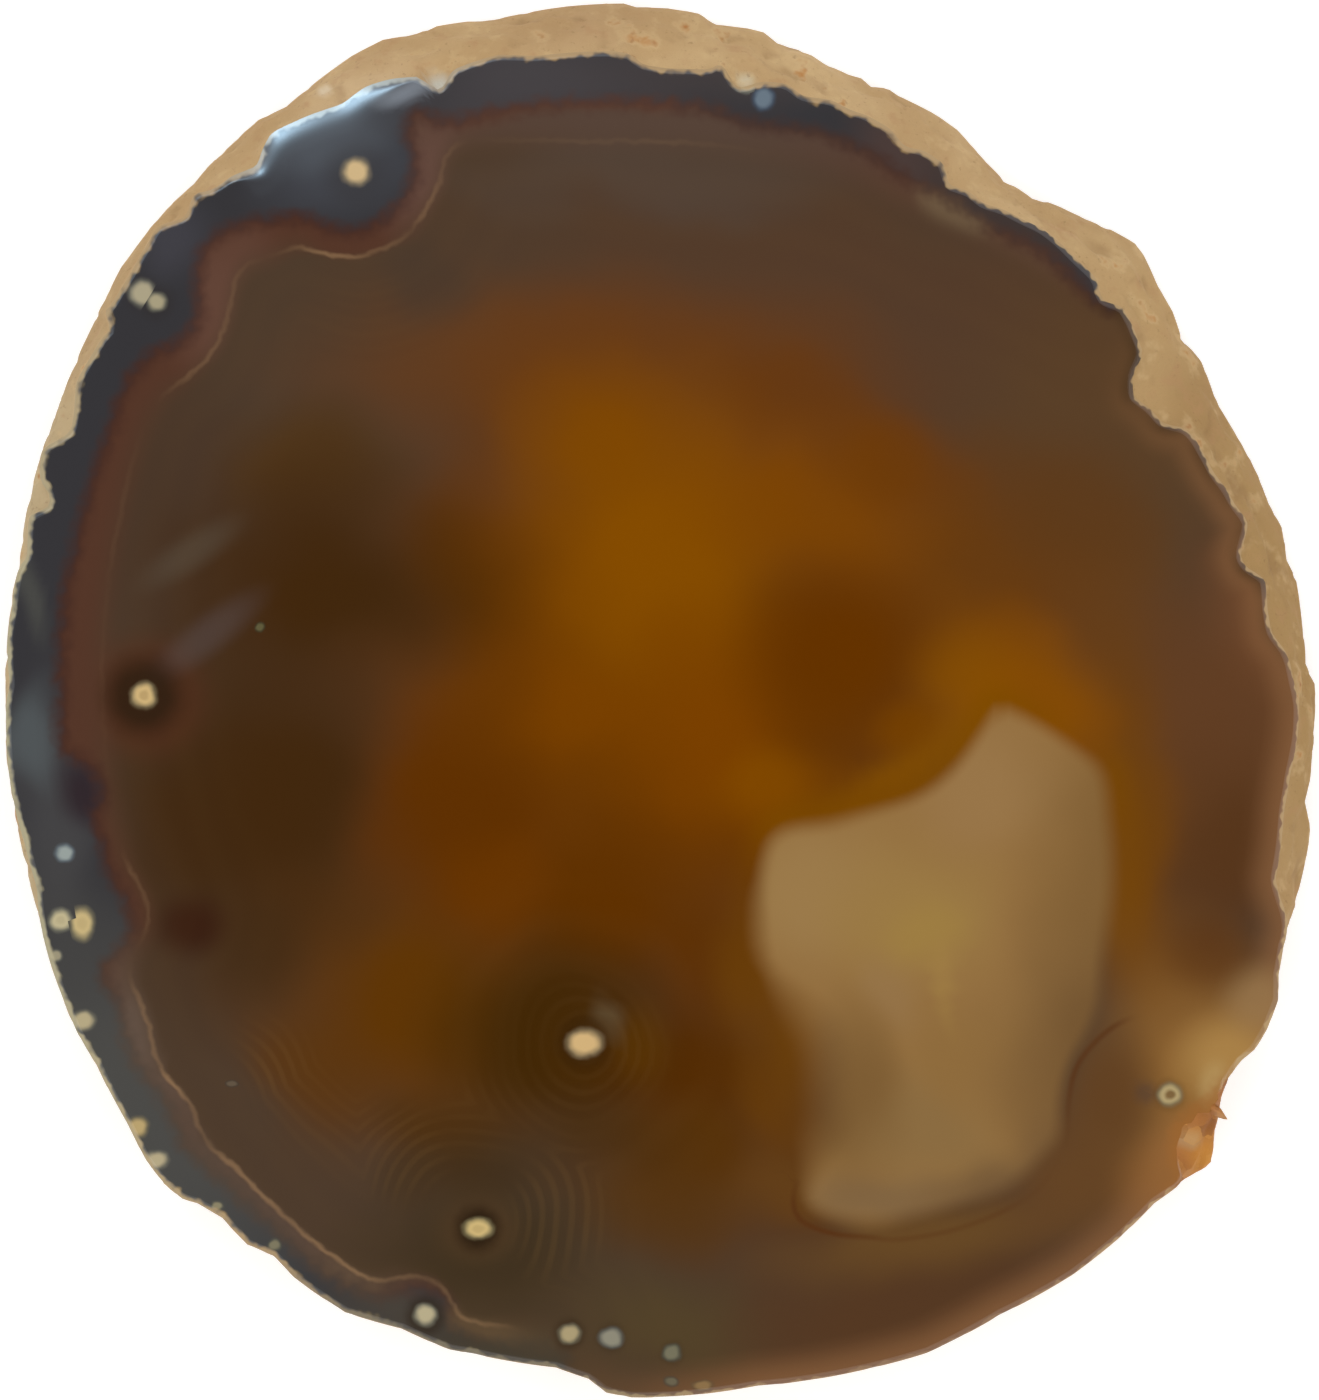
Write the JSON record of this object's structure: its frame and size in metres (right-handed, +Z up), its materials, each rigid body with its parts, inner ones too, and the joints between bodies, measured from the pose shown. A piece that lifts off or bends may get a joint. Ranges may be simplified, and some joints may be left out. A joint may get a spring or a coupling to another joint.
{
  "type": "agate slice",
  "caption": "Thin flat slice of brown banded agate with a polished face, pale eyes, a pale window and a rough tan skin round its edge.",
  "frame": {"origin": "middle of the slice's outline, on the surface that its underside rests on", "axes": "+Z up through the polished face, +Y towards the wide band of skin at the picture's top, +X to the picture's right"},
  "size_m": [0.1048, 0.1114, 0.006],
  "materials": {
    "stone": "polished on the upper face, sawn and smoothed below, rough matt tan skin round the edge"
  },
  "bodies": {
    "root": {"agate_slice": "stone"}
  },
  "joints": []
}
